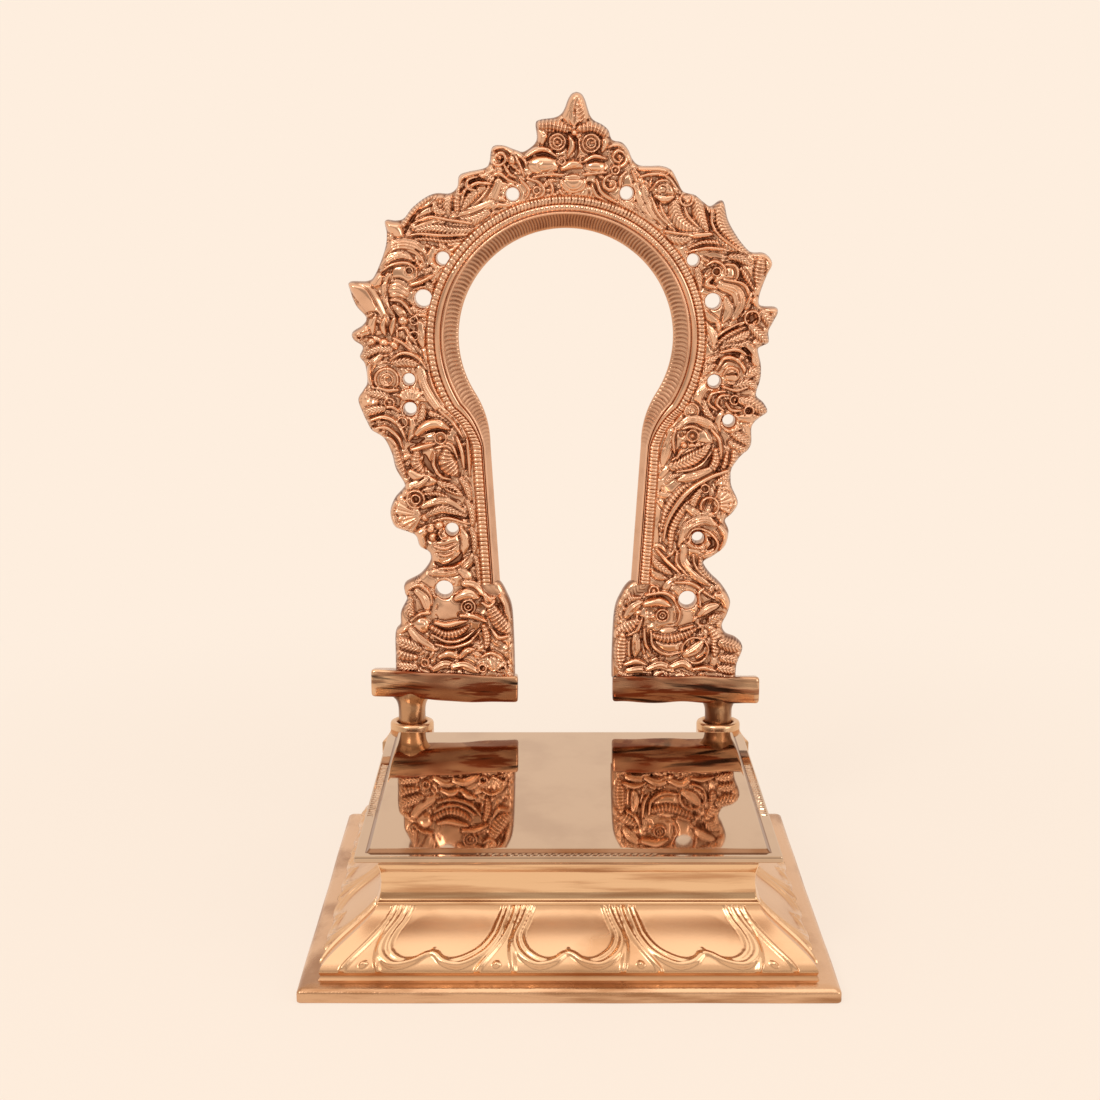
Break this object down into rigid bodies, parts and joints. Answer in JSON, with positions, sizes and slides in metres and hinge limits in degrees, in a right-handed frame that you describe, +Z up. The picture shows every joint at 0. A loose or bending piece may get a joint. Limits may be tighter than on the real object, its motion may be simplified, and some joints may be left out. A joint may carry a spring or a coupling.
{
  "type": "prabhavali",
  "caption": "Cast bronze prabhavali: an ornamented halo arch on foot bars and pegs that plugs into sockets at the back of a square lotus pedestal with a flat seat.",
  "frame": {"origin": "on the ground under the middle of the square foot", "axes": "+Z up, -Y towards the front, +X to the right as seen from the front"},
  "size_m": [0.118, 0.1183, 0.1953],
  "materials": {
    "pedestal_bronze": "cast, with a mirror polish on the seat, hand polished elsewhere",
    "arch_bronze": "cast relief, chased and polished on the high places, dark in the hollows",
    "filed_bronze": "filed and tarnished bars and pegs"
  },
  "bodies": {
    "pedestal": {"foot_flange": "pedestal_bronze", "lotus_tier": "pedestal_bronze", "lotus_petals_front": "pedestal_bronze", "lotus_petals_right": "pedestal_bronze", "lotus_petals_back": "pedestal_bronze", "lotus_petals_left": "pedestal_bronze", "neck_tier": "pedestal_bronze", "seat_slab": "pedestal_bronze", "socket_left": "pedestal_bronze", "socket_right": "pedestal_bronze"},
    "arch": {"peg_left": "filed_bronze", "peg_right": "filed_bronze", "foot_bar_left": "filed_bronze", "foot_bar_right": "filed_bronze", "arch_plate": "arch_bronze", "inner_reveal": "arch_bronze", "plain_ridge": "arch_bronze", "bead_row": "arch_bronze", "crest_mask": "arch_bronze", "scrolls_left": "arch_bronze", "scrolls_right": "arch_bronze", "rim_leaves_left": "arch_bronze", "rim_leaves_right": "arch_bronze", "parrot_left": "arch_bronze", "parrot_right": "arch_bronze", "yali_left": "arch_bronze", "yali_right": "arch_bronze"}
  },
  "joints": [
    {"name": "arch_lift", "type": "slide", "parent": "pedestal", "child": "arch", "axis": [0, 0, 1], "range_m": [0, 0.016]}
  ]
}
